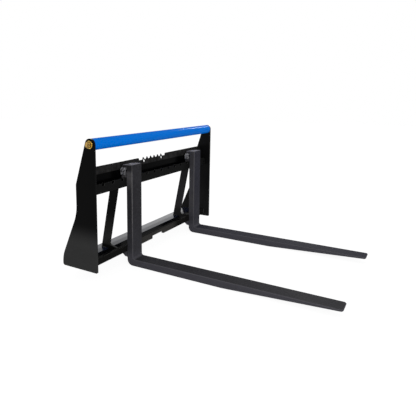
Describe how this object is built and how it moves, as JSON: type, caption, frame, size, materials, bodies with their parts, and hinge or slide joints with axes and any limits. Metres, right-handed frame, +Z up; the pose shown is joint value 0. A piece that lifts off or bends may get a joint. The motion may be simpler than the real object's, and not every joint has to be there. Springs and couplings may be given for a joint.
{
  "type": "pallet fork attachment",
  "caption": "Pallet fork attachment for a loader: L-shaped forks slide along a notched welded carriage with a round top tube and a quick-coupler hook and ledge behind.",
  "frame": {"origin": "on the ground, under the middle of the bounding box", "axes": "+Z up, +Y from the fork tips to the back of the carriage, which couples to the loader, +X along the carriage bars"},
  "size_m": [1.249, 1.2848, 0.713],
  "materials": {
    "frame_paint": "gloss",
    "tube_paint": "gloss",
    "fork_paint": "satin",
    "yellow_zinc": "satin",
    "bare_steel": "satin"
  },
  "bodies": {
    "frame": {"top_tube": "tube_paint", "upper_bar": "frame_paint", "lower_bar": "frame_paint", "back_plate": "frame_paint", "coupler_hook": "frame_paint", "coupler_ledge": "frame_paint", "left_side_plate": "frame_paint", "left_gusset": "frame_paint", "left_tube_plug": "bare_steel", "left_tube_washer": "yellow_zinc", "left_tube_bolt": "yellow_zinc", "right_side_plate": "frame_paint", "right_gusset": "frame_paint", "right_tube_plug": "bare_steel", "right_tube_washer": "yellow_zinc", "right_tube_bolt": "yellow_zinc"},
    "left_fork": {"left_fork": "fork_paint", "left_top_hook": "fork_paint", "left_bottom_hook": "fork_paint", "left_latch_bridge": "fork_paint"},
    "left_latch": {"left_latch_pin": "bare_steel", "left_latch_handle": "bare_steel"},
    "right_fork": {"right_fork": "fork_paint", "right_top_hook": "fork_paint", "right_bottom_hook": "fork_paint", "right_latch_bridge": "fork_paint"},
    "right_latch": {"right_latch_pin": "bare_steel", "right_latch_handle": "bare_steel"}
  },
  "joints": [
    {"name": "left_fork_slide", "type": "slide", "parent": "frame", "child": "left_fork", "axis": [1, 0, 0], "range_m": [-0.231, 0.154]},
    {"name": "right_fork_slide", "type": "slide", "parent": "frame", "child": "right_fork", "axis": [1, 0, 0], "range_m": [-0.308, 0.077]},
    {"name": "left_latch_slide", "type": "slide", "parent": "left_fork", "child": "left_latch", "axis": [0, 0, 1], "range_m": [-0.014, 0]},
    {"name": "right_latch_slide", "type": "slide", "parent": "right_fork", "child": "right_latch", "axis": [0, 0, 1], "range_m": [-0.014, 0]}
  ]
}
